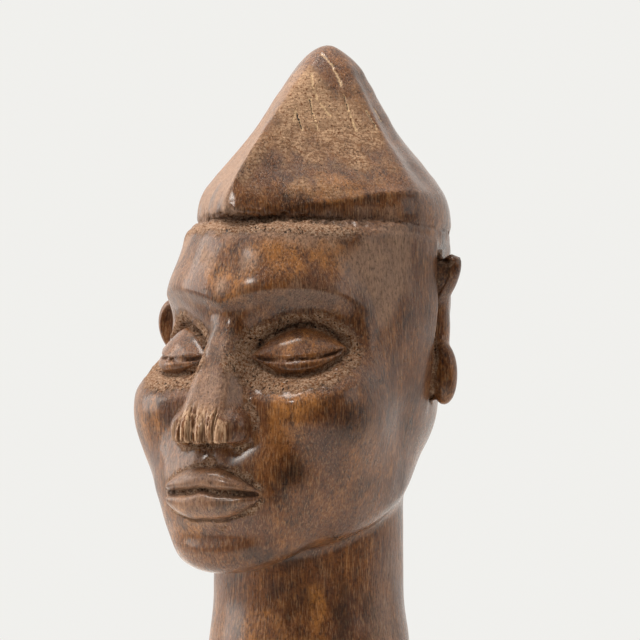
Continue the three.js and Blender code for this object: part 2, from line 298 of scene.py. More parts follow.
def cap(x, f, z):
    """A peak of seven facets with a crisp front ridge, over an upright band whose front corner is cut off."""
    ax = np.abs(x)
    near_tip = smoothstep(z, RIM_Z + 24, TOTAL_HEIGHT - 6)
    front = cut(plane(x, f, z, FRONT_FACET), plane(-x, f, z, FRONT_FACET), 0.3 + 2 * near_tip)
    beside_ridge = bump((f - EAR_SWEEP["forward"]) / EAR_SWEEP["width"])
    sweep = EAR_SWEEP["depth"] * beside_ridge * smoothstep(z, RIM_Z, RIM_Z + 14)
    above_ear = cut(front, plane(ax, f, z, EAR_FACET) + sweep, 1.2)
    sides = cut(above_ear, plane(ax, f, z, SIDE_FACET), 4 - 2 * near_tip)
    amount = CAP_FLARE["amount"] * smoothstep(ax, 0, CAP_FLARE["beside"])
    flare = amount * smoothstep(-z, -CAP_FLARE["from"], -CAP_FLARE["to"])
    peak = cut(sides, plane(ax, f, z, REAR_FACET), 12 - 8 * near_tip) - flare
    wall = plane(ax, f, z, FRONT_WALL) - amount
    band = cut(oval(ax, f, CAP_HALF, SKULL_DEPTH, CAP_FRONT - SKULL_MIDDLE + 6), wall, 3)
    crest = RIM_Z + 3 + BRIM_LIP["rise"] * smoothstep(x, 18, 34)
    lip = BRIM_LIP["height"] * bump((z - crest) / BRIM_LIP["width"])
    lip = lip * smoothstep(x, 12, 22) * smoothstep(f, -12, 4)
    return cut(cut(cut(peak, band, 3), cap_tip(x, f, z), 3), plane(x, f, z, BRIM_CORNER), 1) - lip


def rim_height(f):
    """Height of the rim, which sinks evenly from the forehead to the nape."""
    return RIM_Z - RIM_SLOPE * (CAP_FRONT - f)


def ear_shapes(place):
    """Centre and radii of an ear's masses and its hollow: out from its reach, forward, down from its top."""
    leaf = place["leaf"]
    return {
        "leaf": ((0.2 - leaf, 0, 6.8), (leaf, 3.6, 7.8)),
        "strip": ((-9.8, -1, 20), (3, 3, 13)),
        "lobe": ((-6.4, 0, 32.6), (3.9, 3.7, 8.6)),
        "hollow": ((-0.9 - leaf, 2.8, 7.2), (leaf - 1, 3.8, 6.4)),
    }


def ear_recess(x, f, z, place):
    """Depth of the hollow in which an ear stands, behind a crisp edge of the cheek."""
    behind_edge = smoothstep(place["forward"] + EAR_RECESS["front"] - f, 0, 2.6)
    before_nape = smoothstep(f - place["forward"] + EAR_RECESS["back"], 0, 11)
    low = place["top"] - EAR_RECESS["below"]
    upright = smoothstep(z, low, low + 14) * smoothstep(place["top"] + EAR_RECESS["above"] - z, 0, 8)
    return EAR_RECESS["depth"] * behind_edge * before_nape * upright * (x * place["side"] > 0)


def ear(x, forward, z, place):
    """A leaf-shaped upper ear, hollow in front, over a low strip and a drop-shaped lobe."""
    f = forward - place["forward"]
    down = place["top"] - z
    out = x * place["side"] - place["reach"]
    slant = out + place["lean"] * (down - 2)
    shapes = ear_shapes(place)
    leaf = ellipsoid(slant, f, down, *shapes["leaf"])
    strip = ellipsoid(out, f, down, *shapes["strip"])
    lobe = ellipsoid(out, f, down, *shapes["lobe"])
    root = ellipsoid(out + place["reach"], f, down, (HALF_WIDTH - 6.8, -2, 19), (4.5, 4.5, 16))
    body = blend(blend(blend(leaf, strip, 3), lobe, 2), root, 4)
    return cut(body, -ellipsoid(slant, f, down, *shapes["hollow"]), 1)


def neck(x, f, z):
    flare = NECK_FLARE["amount"] * smoothstep(-z, -NECK_FLARE["from"], -NECK_FLARE["to"])
    return cut(np.hypot(x, f) - NECK_RADIUS - flare, z - EYE_Z, 6)


def nose(ax, f, z):
    """A block nose: narrow at the bridge, broad at the wings, its front worn flat."""
    along = np.clip((NOSE["root"] - z) / (NOSE["root"] - NOSE_Z), -0.3, 1.1)
    front = NOSE["front"] + NOSE["rise"] * along
    half = NOSE["half"] + NOSE["widen"] * along + 0.42 * np.maximum(front - f, 0)
    wedge = cut(ax - half, f - front, 2.4) * 0.87
    trimmed = cut(wedge, np.maximum(f - NOSE["worn"], z - BROW_Z), 1)
    block = cut(np.maximum(trimmed, NOSE["back"] - f), NOSE_Z - z + 0.2 * (NOSE["worn"] - f), 1.6)
    wing = ellipsoid(ax, f, z, **NOSE_WING)
    nostril = ellipsoid(ax, f, z, **NOSTRIL)
    return cut(blend(block, wing, 2.2), -nostril, 0.8)


def almond(s, z):
    """Where a point lies on the eye: along it from -1 to 1, above its middle line, and in from its edge."""
    u = (s - EYE["away"]) / EYE["half"]
    v = z - EYE_Z - EYE["tilt"] * u
    height = np.where(v > 0, EYE["upper"], EYE["lower"])
    inside = (height * (1 - u * u) - np.abs(v)) / np.hypot(1, 2 * height * u / EYE["half"])
    return u, v, inside


def eye_relief(s, z):
    """Height of the carved eye over the face: a hollow orbit, a domed lid with its slit, and a crease."""
    u, v, inside = almond(s, z)
    across = (s - ORBIT["away"]) / ORBIT["half"]
    along = (v - 0.5) / ORBIT["height"]
    orbit = -ORBIT["depth"] * smoothstep(1.25 - np.hypot(across, along), 0, 0.9)
    t = np.clip(inside / 4.6, 0, 1)
    lid = EYE["lid"] * np.sqrt(np.clip(1 - (1 - t) ** 2, 0, 1)) * (1 - 0.35 * u * u)
    edge = -EYE_LINES["edge"] * bump((inside + 0.4) / 0.8) * smoothstep(1.25 - np.abs(u), 0, 0.3)
    fold = EYE_LINES["fold"] * bump((inside + 2.9) / 1.3) * smoothstep(1.3 - np.abs(u), 0, 0.35)
    slit_line = -EYE["lower"] * 0.34 * (1 - u * u)
    slit = -EYE_LINES["slit"] * bump((v - slit_line) / 0.55) * smoothstep(inside, 0.2, 1.6)
    return orbit + lid + edge + fold * np.where(v > 0, 1, 0.55) + slit


def brow_relief(s, z):
    """A rounded ridge that arches over the eye from the root of the nose to the temple."""
    arch = BROW_Z - 1 + BROW["arch"] * (1 - ((s - BROW["away"]) / BROW["half"]) ** 2)
    away = z - arch
    width = np.where(away > 0, BROW["above"], BROW["below"])
    return BROW["height"] * bump(away / width) * smoothstep(44 - s, 0, 14)


def mouth_relief(ax, z):
    """Full lips, the line between them, the groove under the nose and the crease over the chin."""
    bow = np.clip(1 - (ax / LIPS["half"]) ** 2, 0, 1)
    dip = MOUTH_LINES["dip"] * bump(ax / 2.6)
    upper = LIPS["upper"] * bow ** 0.8 - dip * bow
    lower = LIPS["lower"] * bow ** 0.7
    line = MOUTH_Z + 0.7 * bump(ax / 3.2) - 0.5 * (1 - bow)
    above = (z - line) / np.maximum(upper, 0.6)
    below = (line - z) / np.maximum(lower, 0.6)
    t = np.where(z > line, above, below)
    roll = np.sqrt(np.clip(1 - np.clip((t - 0.45) / 0.62, -1, 1) ** 2, 0, 1))
    lips = LIPS["height"] * roll * smoothstep(bow, 0, 0.45)
    parting = LIPS["parting"] * bump((z - line) / 0.9) * smoothstep(bow, 0.02, 0.35)
    groove = MOUTH_LINES["groove"] * bump(ax / 2.8) * bump((z - (MOUTH_Z + NOSE_Z) / 2 - 2.5) / 3.4)
    crease = MOUTH_LINES["crease"] * bump((z - CREASE_Z - 1.2) / 3.2) * bump(ax / 13)
    return lips - parting - groove - crease


def carving(points):
    """Negative inside the wood, positive outside, in millimetres near the surface."""
    x, f, z = left_forward_up(points)
    ax = np.abs(x)
    rim = rim_height(f)
    s = face_arc(ax, f)
    relief = smoothstep(f, 2, 14) * (eye_relief(s, z) + brow_relief(s, z) + mouth_relief(ax, z))
    face = blend(head_mass(ax, f, z) - relief, nose(ax, f, z), 2)
    in_front = smoothstep(f, 0, 24)
    depth = RIM_GROOVE["side"] + (RIM_GROOVE["front"] - RIM_GROOVE["side"]) * in_front
    grooved = face + depth * bump((z - rim) / RIM_GROOVE["width"] + 0.75)
    hood = cut(cap(x, f, z), rim - z, 3.5 - 1.5 * in_front)
    recessed = grooved + ear_recess(x, f, z, LEFT_EAR) + ear_recess(x, f, z, RIGHT_EAR)
    head = np.minimum(cut(recessed, z - rim - 1, 2 + RIM_GROOVE["ledge"] * in_front), hood)
    ears = np.minimum(ear(x, f, z, LEFT_EAR), ear(x, f, z, RIGHT_EAR))
    bust = blend(blend(head, ears, 1.2), neck(x, f, z), 3.5)
    return cut(bust, -z, EDGE_BEVEL)


def slope(points):
    """The way out of the wood at each point, and how fast the field grows that way."""
    columns = [carving(points + PROBE * axis) - carving(points - PROBE * axis) for axis in AXES]
    return np.stack(columns, axis=1) / (2 * PROBE)


def outward(points):
    way = slope(points)
    return way / np.maximum(np.linalg.norm(way, axis=1, keepdims=True), 1e-6)


def curvature(points, probe):
    """Above zero on ridges and below zero in hollows of about the probe's size."""
    around = sum(carving(points + probe * axis) + carving(points - probe * axis) for axis in AXES)
    return (around - 6 * carving(points)) / probe


def settle(points, rounds, reach):
    """Moves points onto the surface of the carving, by at most reach in each round."""
    for _ in range(rounds):
        way = slope(points)
        step = way * (carving(points) / np.maximum(np.sum(way * way, axis=1), 0.05))[:, None]
        length = np.linalg.norm(step, axis=1, keepdims=True)
        points = points - step * np.minimum(1, reach / np.maximum(length, 1e-9))
    return points


def noise(points, size, seed):
    """Smooth noise from -1 to 1. size is the length of its cells, one number or one for each axis."""
    cells = points / np.asarray(size, float)
    corner = np.floor(cells).astype(int)
    t = cells - corner
    t = t * t * (3 - 2 * t)
    order = np.random.default_rng(seed).permutation(256)
    total = np.zeros(len(points))
    for step in np.ndindex(2, 2, 2):
        x, y, z = (corner + step).T
        value = order[(order[(order[x & 255] + y) & 255] + z) & 255] / 127.5 - 1
        total += value * np.prod(np.where(np.array(step) == 1, t, 1 - t), axis=1)
    return total


def read(items, name, kind=np.int32, width=1):
    """One value, or as many as width, of each of a mesh's items, in one flat array."""
    flat = np.empty(len(items) * width, kind)
    items.foreach_get(name, flat)
    return flat


# Vertex positions of a mesh in millimetres, and back
def read_points(mesh):
    return read(mesh.vertices, "co", np.float32, 3).reshape(-1, 3).astype(float) / MM


def write_points(mesh, points):
    mesh.vertices.foreach_set("co", (points * MM).astype(np.float32).ravel())
    mesh.update()


def relax(mesh, points, share):
    """Draws each vertex towards the middle of its neighbours, which evens out the net."""
    a, b = read(mesh.edges, "vertices", width=2).reshape(-1, 2).T
    count = np.bincount(a, minlength=len(points)) + np.bincount(b, minlength=len(points))
    pulled = np.empty_like(points)
    for axis in range(3):
        total = np.bincount(a, points[b, axis], len(points)) + np.bincount(b, points[a, axis], len(points))
        pulled[:, axis] = total / np.maximum(count, 1)
    return points + share * (pulled - points)


def fit(mesh, rounds, onto_ridge=0):
    """Evens out the net and lays it on the carving. What ends near the cap's front ridge is drawn onto it."""
    points = settle(read_points(mesh), 3, FIRST_REACH)
    for _ in range(rounds):
        points = settle(relax(mesh, points, 0.6), 2, REACH)
    at_ridge = (points[:, 2] > RIM_Z + 1) & (points[:, 1] < 8) & (np.abs(points[:, 0]) < onto_ridge)
    points[at_ridge, 0] = 0
    points[at_ridge] = settle(points[at_ridge], 2, REACH)
    write_points(mesh, points)


def to_mode(name):
    bpy.ops.object.mode_set(mode=name)


def only(piece):
    """Makes one object the only selected and the active one."""
    bpy.ops.object.select_all(action="DESELECT")
    piece.select_set(True)
    bpy.context.view_layer.objects.active = piece


def ear_masses(place):
    """Rounded stand-ins for one ear, which the remesh melts into the head."""
    made = []
    for name, (centre, radii) in ear_shapes(place).items():
        if name == "hollow":
            continue
        slant = place["lean"] * (centre[2] - 2) if name == "leaf" else 0
        across = place["side"] * (place["reach"] + centre[0] - slant)
        back = -(centre[1] + place["forward"])
        up = place["top"] - centre[2]
        location = (across * MM, back * MM, up * MM)
        scale = tuple(radius * MM for radius in radii)
        bpy.ops.mesh.primitive_uv_sphere_add(
            segments=24, ring_count=16, radius=1, location=location, scale=scale
        )
        bpy.ops.object.transform_apply(location=True, rotation=True, scale=True)
        made.append(bpy.context.active_object)
    return made


def rough_out(step):
    """The CAD node's copy with the ears' masses on it, remeshed into one even skin."""
    piece = bpy.data.objects.new(PIECE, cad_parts[NODE].data.copy())
    bpy.context.scene.collection.objects.link(piece)
    piece.data.materials.clear()
    ears = ear_masses(LEFT_EAR) + ear_masses(RIGHT_EAR)
    only(piece)
    to_mode("EDIT")
    bpy.ops.mesh.select_all(action="SELECT")
    bpy.ops.mesh.remove_doubles(threshold=1e-5)
    to_mode("OBJECT")
    for mass in ears:
        mass.select_set(True)
    bpy.ops.object.join()
    remesh = piece.modifiers.new("Even skin", "REMESH")
    remesh.mode = "VOXEL"
    remesh.voxel_size = step * MM
    bpy.ops.object.modifier_apply(modifier=remesh.name)
    return piece


def refine(piece, wanted):
    """Cuts each face that touches a wanted vertex into four."""
    mesh = piece.data
    only(piece)
    to_mode("EDIT")
    bpy.ops.mesh.select_mode(type="FACE")
    bpy.ops.mesh.select_all(action="DESELECT")
    to_mode("OBJECT")
    corners = wanted[read(mesh.loops, "vertex_index")]
    starts = read(mesh.polygons, "loop_start")
    mesh.polygons.foreach_set("select", np.logical_or.reduceat(corners, starts))
    to_mode("EDIT")
    bpy.ops.mesh.subdivide(number_cuts=1)
    bpy.ops.mesh.select_all(action="SELECT")
    bpy.ops.mesh.quads_convert_to_tris(quad_method="BEAUTY", ngon_method="BEAUTY")
    to_mode("OBJECT")


def turns_sharply(points):
    """True where the carving turns quickly, and on the face wherever it is not plain."""
    _, f, z = left_forward_up(points)
    turning = np.abs(curvature(points, FINE_PROBE))
    on_face = (f > 6) & (z > CHIN_Z) & (z < RIM_Z + 3)
    return (turning > SHARP_TURN) | on_face & (turning > SHARP_ON_FACE)


def on_segment(points, start, end, facing):
    """Seen along facing: the distance to one side of the line between two points, and beyond its ends."""
    length = np.linalg.norm(end - start)
    way = (end - start) / length
    along = (points - start) @ way
    return (points - start) @ np.cross(facing, way), np.maximum(np.maximum(-along, along - length), 0)


def on_front_facet(left, up):
    """The place on the cap's left front facet at that distance from the midline and that height."""
    point, facing = FRONT_FACET["point"], FRONT_FACET["facing"]
    forward = point[1] - (facing[0] * (left - point[0]) + facing[2] * (up - point[2])) / facing[1]
    return left, -forward, up


def scratches(points):
    """The distance to one side of the nearest slanting cut on the cap, and that cut's share of full depth."""
    x, f, z = left_forward_up(points)
    left, forward, up = FRONT_FACET["facing"]
    facing = np.array((left, -forward, up)) / math.hypot(left, forward, up)
    near_facet = (np.abs(plane(x, f, z, FRONT_FACET)) < 5) & (x > 0) & (z > RIM_Z + 12)
    offset = np.full(len(points), NO_CUT_NEAR)
    depth = np.zeros(len(points))
    for start, end, share in SCRATCHES:
        start, end = np.array(on_front_facet(*start)), np.array(on_front_facet(*end))
        aside, beyond = on_segment(points, start, end, facing)
        nearer = np.hypot(aside, beyond) < np.abs(offset)
        offset = np.where(nearer, aside, offset)
        depth = np.where(nearer, share * smoothstep(1.1 - np.hypot(aside * 0.6, beyond), 0, 1), depth)
    return offset, depth * near_facet


def fine_work(points):
    """True where the net is finest: at the lids, lips, rim, front ridge, worn nose and slanting cuts."""
    x, f, z = left_forward_up(points)
    ax = np.abs(x)
    s = face_arc(ax, f)
    u, _, inside = almond(s, z)
    near_lid = (f > 6) & (np.abs(u) < 1.12) & (inside > -3.8) & (inside < 2.2)
    near_lips = (f > 30) & (ax < LIPS["half"] + 1) & (np.abs(z - MOUTH_Z) < 2.6)
    near_rim = (f > 18) & (x > -20) & (np.abs(z - rim_height(f) - 0.2) < 1.6)
    near_ridge = (f > -4) & (ax < 1.2) & (z > RIM_Z + 2)
    worn_nose = nose_front(points) > 0.1
    offset, depth = scratches(points)
    near_scratch = (depth > 0.05) & (np.abs(offset) < 0.8)
    return near_lid | near_lips | near_rim | near_ridge | worn_nose | near_scratch


def patches(points, places):
    """Soft blotches on the wood. Angles run from 0 in front to 90 at the left ear and 180 behind."""
    x, f, z = left_forward_up(points)
    angle = np.degrees(np.arctan2(x, f))
    ragged = 0.45 * noise(points, 7, seed=21) + 0.3 * noise(points, (2, 2, 6), seed=22)
    total = np.zeros(len(points))
    for at, up, wide, high, strength in places:
        away = np.hypot((angle - at) / wide, (z - up) / high)
        total = np.maximum(total, strength * smoothstep(1.25 - away + ragged, 0, 0.9))
    return total


def nose_front(points):
    """1 on the flat worn front of the nose, 0 elsewhere."""
    x, f, z = left_forward_up(points)
    in_front = smoothstep(f, NOSE["worn"] - 3.2, NOSE["worn"] - 1.2)
    return in_front * (np.abs(x) < 12) * smoothstep(z, NOSE_Z - 3, NOSE_Z)


def nose_grooves(points):
    """1 in the open grain on the nose's worn front, 0 on its crests and elsewhere."""
    wide = np.abs(noise(points, (2.1, 60, 55), seed=7))
    narrow = np.abs(noise(points, (1.1, 60, 24), seed=17))
    open_grain = np.maximum(smoothstep(0.22 - wide, 0, 0.22), 0.55 * smoothstep(0.2 - narrow, 0, 0.2))
    return open_grain * nose_front(points)


def rim_crumble(points):
    """1 along the crumbling rim over the forehead, fading out round the sides."""
    _, f, z = left_forward_up(points)
    return bump((z - rim_height(f) - 0.2) / 2.4) * (0.25 + 0.75 * smoothstep(f, 0, 22))


def orbit_mask(points):
    """1 in the hollow round the lids, 0 on the lids and outside the orbit."""
    x, f, z = left_forward_up(points)
    s = face_arc(np.abs(x), f)
    _, v, inside = almond(s, z)
    across = (s - ORBIT["away"]) / ORBIT["half"]
    around = smoothstep(1.15 - np.hypot(across, v / ORBIT["height"]), 0, 0.35)
    return around * smoothstep(-inside, -0.6, 0.8) * (f > 4)


def ear_crumble(points):
    """1 on the rough wood inside the left ear's leaf and in front of its strip, 0 elsewhere."""
    x, f, z = left_forward_up(points)
    down = LEFT_EAR["top"] - z
    inside = smoothstep(LEFT_EAR["reach"] - LEFT_EAR["lean"] * (down - 2) - x, 1.2, 2.6) * (x > 28)
    return inside * smoothstep(-down, -34, -18) * (down > 1) * bump((f - LEFT_EAR["forward"] - 3) / 4)


def knife_marks(points):
    """Height of the hand's wavering, the open grain and the crumbled places over the smooth carving."""
    z = points[:, 2]
    rim = rim_crumble(points)
    waver = MARKS["waver"] * noise(points, 15, seed=3) + MARKS["ripple"] * noise(points, 6, seed=4)
    strokes = MARKS["stroke"] * noise(points, (4, 4, 9), seed=5)
    planing = MARKS["planing"] * noise(points, (9, 9, 2.6), seed=6) * smoothstep(z, RIM_Z + 4, RIM_Z + 10)
    by_hand = (waver + strokes + planing) * smoothstep(z, 1.5, 6)
    nose_grain = -MARKS["nose_grain"] * nose_grooves(points)
    crumbs = noise(points, 1.5, seed=8) + 0.7 * noise(points, 0.75, seed=9)
    crumbly = CRUMBLED["rim"] * rim + CRUMBLED["orbit"] * orbit_mask(points)
    crumbly = crumbly + CRUMBLED["ear"] * ear_crumble(points)
    crumbled = crumbs * crumbly + np.minimum(noise(points, 3.1, seed=12), 0) * rim
    notches = -MARKS["notch"] * smoothstep(noise(points, (1.3, 1.3, 2.6), seed=10), 0.1, 0.7) * rim
    offset, depth = scratches(points)
    cuts = -SCRATCH["depth"] * depth * bump(offset / SCRATCH["half"])
    return by_hand + nose_grain + crumbled + notches + cuts


def finish_masks(points):
    """What the material reads at each vertex: shares from 0 to 1, and the distance to a cut."""
    x, f, z = left_forward_up(points)
    fine = curvature(points, FINE_PROBE)
    broad = curvature(points, BROAD_PROBE)
    # Painted shade: the share of near black laid in creases and small hollows, found from the curvature
    hollow = smoothstep(-fine, 0.12, 0.9)
    sunken = smoothstep(-broad, 0.1, 1.1)
    crumbs = 0.5 + 0.5 * noise(points, 1.1, seed=8)
    ledge = bump((z - rim_height(f) + 2.6) / 2.9) * smoothstep(f, 8, 26)
    above_jaw = smoothstep(z, CHIN_Z + 8, CHIN_Z + 22)
    in_orbit = orbit_mask(points) * (0.8 + 0.35 * noise(points, 5, seed=31))
    dusty = np.maximum.reduce([0.7 * sunken * above_jaw, in_orbit, 0.9 * ledge, 0.55 * ear_crumble(points)])
    outer = plane(x, f, z, FRONT_FACET) - plane(x, f, z, EAR_FACET)
    left_facet = smoothstep(x, -0.4, 0.6) * (z > RIM_Z + 4) * smoothstep(outer, -1, 1.5)
    # Pinkish grey film, and painted sheen where the cap's right front facet and the left temple catch grazing
    # light
    film_and_painted_sheen = patches(points, FILM_AND_SHEEN_PATCHES)
    scratch_offset, scratch_depth = scratches(points)
    rough_spots = np.maximum(nose_grooves(points), 0.75 * ear_crumble(points))
    # Painted shade along the groove under the cap's rim, broken up by noise
    dark_rim = 0.6 * crumbs * rim_crumble(points) * smoothstep(noise(points, (8, 8, 40), seed=33), -0.6, 0.4)
    return {
        # The hollow share paints shade in creases, small hollows and the rim's groove, and the same near
        # black in the nose's open grain and the left ear's rough wood
        "hollow": np.maximum.reduce([hollow, dark_rim, rough_spots]),
        "raised": smoothstep(fine, 0.1, 0.8),
        "dust": np.clip(dusty, 0, 1),
        "worn": patches(points, WORN_PATCHES),
        "stain": patches(points, STAINS),
        "matte": np.clip(left_facet * patches(points, MATTE_PATCHES), 0, 1),
        # On the cap, only its right front facet takes the film and painted sheen
        "film_and_sheen_share": np.minimum(film_and_painted_sheen, np.where(z > RIM_Z + 2, smoothstep(-x, -0.3, 0.2), 1)),
        "bare": nose_front(points),
        "scratch_offset": scratch_offset,
        "scratch_depth": scratch_depth,
    }


def store(mesh, masks):
    for name, values in masks.items():
        attribute = mesh.attributes.new(name, "FLOAT", "POINT")
        attribute.data.foreach_set("value", values.astype(np.float32))


class Board:
    """A node tree while it is being wired."""

    def __init__(self, tree):
        self.tree = tree

    def feed(self, node, inputs):
        """Sets inputs of a node. Each takes a value, or the output socket that feeds it."""
        for key, value in inputs.items():
            if isinstance(value, bpy.types.NodeSocket):
                self.tree.links.new(value, node.inputs[key])
            else:
                node.inputs[key].default_value = value

    def node(self, kind, inputs=None, **properties):
        made = self.tree.nodes.new(kind)
        for name, value in properties.items():
            setattr(made, name, value)
        self.feed(made, inputs or {})
        return made

    def maths(self, operation, a, b=0.5):
        return self.node("ShaderNodeMath", {0: a, 1: b}, operation=operation).outputs[0]

    def plus(self, a, b):
        return self.maths("ADD", a, b)

    def minus(self, a, b):
        return self.maths("SUBTRACT", a, b)

    def times(self, a, b):
        return self.maths("MULTIPLY", a, b)

    def largest(self, first, *others):
        for other in others:
            first = self.maths("MAXIMUM", first, other)
        return first

    def weighed(self, parts):
        """The sum of some sockets, each times its weight."""
        total = 0.0
        for socket, weight in parts:
            inputs = {0: socket, 1: weight, 2: total}
            total = self.node("ShaderNodeMath", inputs, operation="MULTIPLY_ADD").outputs[0]
        return total

    def ramp(self, value, low, high, to_low=0.0, to_high=1.0):
        """Eases from to_low to to_high while value goes from low to high."""
        inputs = {"Value": value, "From Min": low, "From Max": high, "To Min": to_low, "To Max": to_high}
        return self.node("ShaderNodeMapRange", inputs, interpolation_type="SMOOTHSTEP").outputs["Result"]

    def mix(self, share, a, b):
        return self.node("ShaderNodeMix", {"Factor": share, "A": a, "B": b}).outputs["Result"]

    def mix_colour(self, share, a, b):
        inputs = {"Factor": share, 6: opaque(a), 7: opaque(b)}
        return self.node("ShaderNodeMix", inputs, data_type="RGBA").outputs[2]

    def layered(self, colour, layers):
        """Lays colours over a ground one after another, each with its share."""
        for share, layer in layers:
            colour = self.mix_colour(share, colour, layer)
        return colour

    def in_cells(self, position, size):
        """A position counted in cells of that size in millimetres: one number or one for each axis."""
        size = size if isinstance(size, tuple) else (size,) * 3
        scale = tuple(1 / length for length in size)
        return self.node("ShaderNodeMapping", {"Vector": position, "Scale": scale}).outputs["Vector"]

    def noise(self, position, size, detail=3.0, roughness=0.55):
        place = self.in_cells(position, size)
        inputs = {"Vector": place, "Scale": 1.0, "Detail": detail, "Roughness": roughness}
        return self.node("ShaderNodeTexNoise", inputs).outputs["Fac"]

    def attribute(self, name):
        return self.node("ShaderNodeAttribute", attribute_name=name).outputs["Fac"]

    def millimetres(self):
        """The piece's own coordinates in millimetres."""
        inputs = {0: self.node("ShaderNodeTexCoord").outputs["Object"], "Scale": 1 / MM}
        return self.node("ShaderNodeVectorMath", inputs, operation="SCALE").outputs["Vector"]

    def group(self, tree, inputs):
        return self.node("ShaderNodeGroup", inputs, node_tree=tree).outputs

    def bumps(self, height):
        """The normals of a surface whose relief has that height in millimetres."""
        inputs = {"Strength": 1.0, "Distance": MM, "Height": height}
        return self.node("ShaderNodeBump", inputs).outputs["Normal"]


def opaque(colour):
    """A colour setting with its alpha. A socket is passed on as it is."""
    return colour if isinstance(colour, bpy.types.NodeSocket) else (*colour[:3], 1)


def new_group(name, inputs, outputs):
    """An empty node group. Its inputs are numbers with a default, or a vector where that is None."""
    tree = bpy.data.node_groups.new(name, "ShaderNodeTree")
    for label, default in inputs.items():
        kind = "NodeSocketVector" if default is None else "NodeSocketFloat"
        socket = tree.interface.new_socket(name=label, in_out="INPUT", socket_type=kind)
        if default is not None:
            socket.default_value = default
    for label in outputs:
        tree.interface.new_socket(name=label, in_out="OUTPUT", socket_type="NodeSocketFloat")
    board = Board(tree)
    return board, board.node("NodeGroupInput").outputs, board.node("NodeGroupOutput")


def new_material(name):
    """A material, the board on which it is wired, and its shader."""
    material = bpy.data.materials.new(name)
    material.use_nodes = True
    return material, Board(material.node_tree), material.node_tree.nodes["Principled BSDF"]


def grain_group():
    """Fibres, pores and broad figure of a hardwood whose grain runs up the piece."""
    outputs = ("Tone", "Fibres", "Pores", "Height")
    board, given, out = new_group("Upright grain", {"Position": None}, outputs)
    place = given["Position"]
    wander = board.times(board.noise(place, (9, 9, 24), 2), 3.0)
    drift = board.node("ShaderNodeCombineXYZ", {"X": wander}).outputs["Vector"]
    bent = board.node("ShaderNodeVectorMath", {0: place, 1: drift}, operation="ADD").outputs["Vector"]
    streaks = board.noise(bent, (1.1, 1.1, 16), 4, 0.6)
    fibres = board.noise(bent, (0.32, 0.32, 4.5), 3, 0.6)
    clouds = board.noise(bent, (10, 10, 15), 4)
    patchy = board.noise(bent, (2.6, 2.6, 4.5), 3, 0.6)
    speckle = board.noise(place, (0.7, 0.7, 1.1), 3, 0.7)
    holes = {"Vector": board.in_cells(bent, (0.8, 0.8, 3.6)), "Scale": 1.0}
    from_hole = board.node("ShaderNodeTexVoronoi", holes).outputs["Distance"]
    density = board.noise(place, (4, 4, 12), 2)
    pores = board.times(board.ramp(from_hole, 0.28, 0.12), board.ramp(density, 0.38, 0.58))
    parts = ((clouds, 0.3), (patchy, 0.22), (streaks, 0.2), (fibres, 0.15), (speckle, 0.28))
    relief = board.weighed(((streaks, 0.28), (fibres, 0.18), (speckle, 0.26)))
    height = board.minus(relief, board.times(pores, 0.16))
    board.feed(out, {"Tone": board.weighed(parts), "Fibres": fibres, "Pores": pores, "Height": height})
    return board.tree


def crumb_group():
    """Dust and crumbled wood: a ragged mask and its height, thickest where Amount is near 1."""
    outputs = ("Mask", "Pits", "Height")
    board, given, out = new_group("Crumbled dust", {"Position": None, "Amount": 0.5}, outputs)
    place, amount = given["Position"], given["Amount"]
    fine = board.noise(place, 0.9, 4, 0.7)
    ragged = board.weighed(((board.noise(place, 2.6, 4, 0.65), 0.7), (fine, 0.3)))
    mask = board.ramp(board.plus(amount, board.times(board.minus(ragged, 0.5), 2.2)), 0.28, 0.78)
    holes = board.ramp(board.noise(place, (0.9, 0.9, 1.1), 2, 0.6), 0.42, 0.34)
    sparse = board.ramp(board.noise(place, 3.4, 2), 0.4, 0.56)
    pits = board.times(board.times(holes, sparse), board.ramp(amount, 0.25, 0.6))
    lumps = board.times(board.times(fine, 0.6), mask)
    height = board.minus(lumps, board.times(pits, 0.35))
    board.feed(out, {"Mask": mask, "Pits": pits, "Height": height})
    return board.tree


# The layers of colour on the carved wood. Each function gives (share, colour) pairs from the ground up.
def polished_layers(board, place, grain, mottle, film_and_painted_sheen, colours):
    """Bands of the grain, golden places rubbed by hands, the dry film with painted sheen, and dark and light
    specks.
    """
    tone = grain["Tone"]
    reddened = board.ramp(board.noise(place, (13, 13, 19)), 0.45, 0.65, 0, 0.45)
    handled = board.plus(board.attribute("worn"), board.times(board.attribute("raised"), 0.35))
    wear = board.times(handled, board.ramp(mottle, 0.26, 0.66))
    wear = board.times(wear, board.ramp(tone, 0.42, 0.6, 0.3, 1))
    rubbed = board.ramp(board.noise(place, (0.9, 0.9, 1.6), 3, 0.7), 0.32, 0.6, 0.4, 1)
    grit = board.ramp(board.noise(place, (0.65, 0.65, 1.4), 3, 0.75), 0.5, 0.36, 0, 0.6)
    return (
        (board.ramp(tone, 0.46, 0.6), colours.brown_wood),
        (board.ramp(tone, 0.57, 0.7, 0, 0.75), colours.light_wood),
        (reddened, colours.plum_wood),
        (board.times(board.ramp(wear, 0.05, 0.9, 0, 0.9), rubbed), colours.worn_wood),
        # Painted sheen on the cap's right front facet and the left temple, and a dry film elsewhere
        (film_and_painted_sheen, colours.film_and_painted_sheen),
        (grit, colours.dark_wood),
        (board.ramp(grain["Fibres"], 0.5, 0.68, 0, 0.2), colours.pale_fibre),
    )


